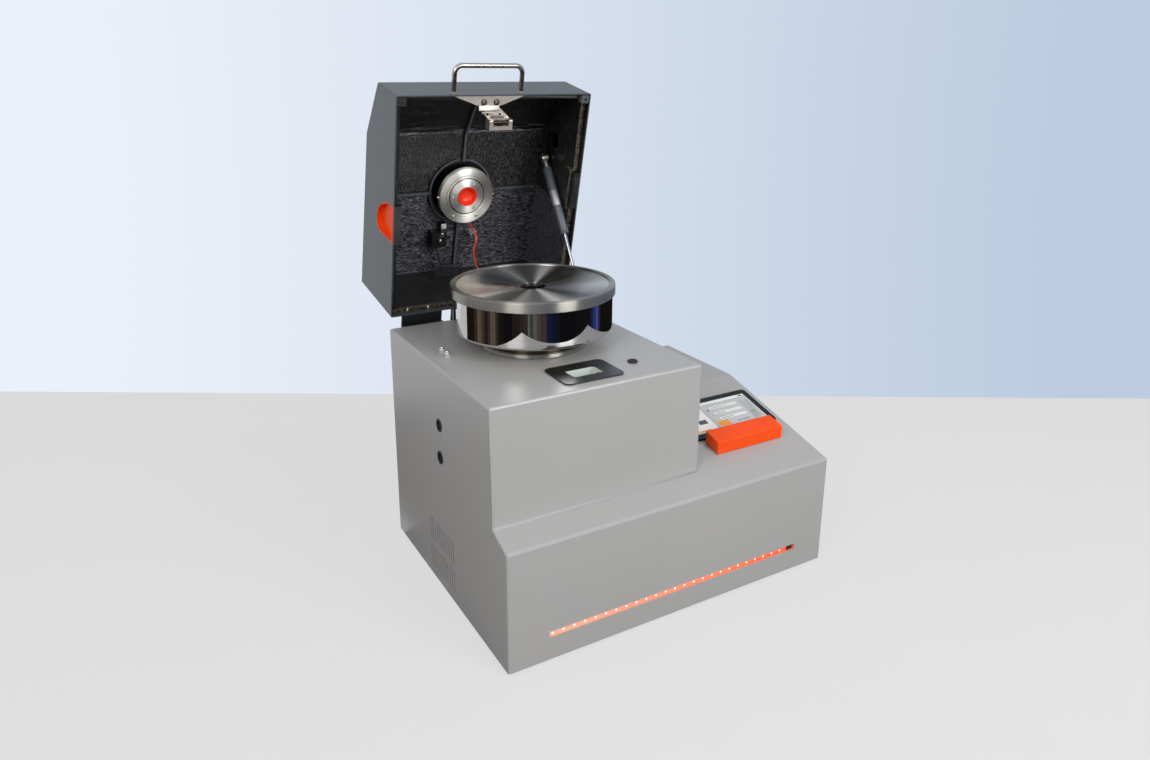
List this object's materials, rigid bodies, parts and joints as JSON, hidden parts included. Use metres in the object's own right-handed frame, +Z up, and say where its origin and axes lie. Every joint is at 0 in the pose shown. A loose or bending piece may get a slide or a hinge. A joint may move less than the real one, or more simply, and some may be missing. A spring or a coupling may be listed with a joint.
{
  "type": "laboratory mill",
  "caption": "Bench-top vibratory disc mill with a lined hood held open by a gas spring, a lidded steel grinding vessel on a vibrating unit, and a sloping screen.",
  "frame": {"origin": "centre of the object's box on the bench, hood open", "axes": "+X to the machine's right seen from the front, +Y to the back, +Z up"},
  "size_m": [0.5512, 0.578, 0.7632],
  "materials": {
    "grey_paint": "satin powder coat",
    "dark_paint": "satin powder coat",
    "cast_iron_part": "matt",
    "foam": "embossed sound-absorbing foam skin",
    "rubber": "matt",
    "orange_plastic": "moulded, satin",
    "black_plastic": "moulded, satin",
    "black_steel": "satin black",
    "bright_steel": "turned and polished",
    "zinc": "zinc plated",
    "pale_plastic": "moulded, satin",
    "screen_glass": "glossy screen",
    "lamp_cover": "lit",
    "red_hose": "extruded polyurethane"
  },
  "bodies": {
    "root": {"air_inlet": "zinc", "base_plate": "cast_iron_part", "display_bezel": "black_plastic", "display_screen": "screen_glass", "hinge_lower_left": "black_steel", "hinge_lower_right": "black_steel", "housing_shell": "grey_paint", "lamp_channel": "pale_plastic", "lamp_strip": "lamp_cover", "latch_plate": "black_plastic", "latch_tray": "pale_plastic", "mains_inlet": "black_plastic", "rear_panel": "grey_paint", "rubber_buffer_front_left": "rubber", "rubber_buffer_front_right": "rubber", "rubber_buffer_rear_left": "rubber", "rubber_buffer_rear_right": "rubber", "rubber_stop": "rubber", "screen_rest": "orange_plastic", "side_plug_lower": "black_plastic", "side_plug_upper": "black_plastic", "strut_bracket_lower": "dark_paint"},
    "hood": {"hood_shell": "dark_paint", "lining_ceiling": "foam", "lining_chamfer": "foam", "lining_front": "foam", "lining_rear": "foam", "lining_left": "foam", "lining_right": "foam", "clamp_ribs": "dark_paint", "clamp_cylinder": "black_steel", "hood_handle": "bright_steel", "latch_striker": "zinc", "bumper_left": "rubber", "bumper_right": "rubber", "grip_left": "orange_plastic", "grip_right": "orange_plastic", "hinge_upper_left": "black_steel", "hinge_upper_right": "black_steel", "cable_bridge": "rubber", "valve_block": "black_plastic", "hose_fitting": "pale_plastic", "cable_bracket": "black_plastic", "valve_cable": "black_plastic", "air_hose": "red_hose", "strut_bracket_upper": "dark_paint"},
    "clamp_piston": {"clamp_flange": "bright_steel", "centring_cup": "orange_plastic"},
    "gas_strut": {"strut_cylinder": "dark_paint"},
    "strut_piston": {"strut_rod": "bright_steel"},
    "bolt": {"latch_bolt": "zinc"},
    "vibrating_unit": {"swing_table": "cast_iron_part", "motor_body": "cast_iron_part"},
    "rotor": {"shaft_with_weight": "cast_iron_part"},
    "bowl": {"vessel_bowl": "bright_steel"},
    "lid": {"vessel_lid": "bright_steel", "lid_seal": "rubber"},
    "ring": {"grinding_ring": "bright_steel"},
    "puck": {"grinding_puck": "bright_steel"},
    "rocker": {"switch_rocker": "black_plastic"}
  },
  "joints": [
    {"name": "hood_hinge", "type": "hinge", "parent": "root", "child": "hood", "pos_m": [-0.2744, 0.13497, 0.352], "axis": [-1, 0, 0], "range_deg": [-77.26, 0]},
    {"name": "clamp_slide", "type": "slide", "parent": "hood", "child": "clamp_piston", "axis": [0, -0.9754, -0.2205], "range_m": [0, 0.011], "stiffness_N_per_m": 600, "springref_m": -0.02},
    {"name": "strut_pivot", "type": "hinge", "parent": "hood", "child": "gas_strut", "pos_m": [0.0251, 0.16744, 0.60745], "axis": [1, 0, 0], "range_deg": [-0.1, 21.98]},
    {"name": "strut_slide", "type": "slide", "parent": "gas_strut", "child": "strut_piston", "axis": [0, 0.51, 0.8602], "range_m": [-0.0002, 0.10732]},
    {"name": "bolt_slide", "type": "slide", "parent": "root", "child": "bolt", "axis": [-1, 0, 0], "range_m": [0, 0.008], "stiffness_N_per_m": 100, "springref_m": -0.005},
    {"name": "swing_slide", "type": "slide", "parent": "root", "child": "vibrating_unit", "axis": [1, 0, 0], "range_m": [-0.0025, 0.0025], "stiffness_N_per_m": 40000},
    {"name": "rotor_spin", "type": "hinge", "parent": "vibrating_unit", "child": "rotor", "pos_m": [-0.1064, -0.04003, 0.1487], "axis": [0, 0, 1], "continuous": true},
    {"name": "bowl_lift", "type": "slide", "parent": "vibrating_unit", "child": "bowl", "axis": [0, 0, 1], "range_m": [0, 0.06]},
    {"name": "lid_lift", "type": "slide", "parent": "bowl", "child": "lid", "axis": [0, 0, 1], "range_m": [0, 0.06]},
    {"name": "ring_slide", "type": "slide", "parent": "bowl", "child": "ring", "axis": [1, 0, 0], "range_m": [-0.018, 0.018]},
    {"name": "puck_slide", "type": "slide", "parent": "ring", "child": "puck", "axis": [1, 0, 0], "range_m": [-0.013, 0.013]},
    {"name": "rocker_tilt", "type": "hinge", "parent": "root", "child": "rocker", "pos_m": [0.1556, 0.12747, 0.06], "axis": [1, 0, 0], "range_deg": [-18, 0]}
  ],
  "couplings": [
    {"joint": "strut_pivot", "follows": "hood_hinge", "ratio": -0.28317},
    {"joint": "strut_slide", "follows": "hood_hinge", "m_per_rad": -0.079439}
  ]
}
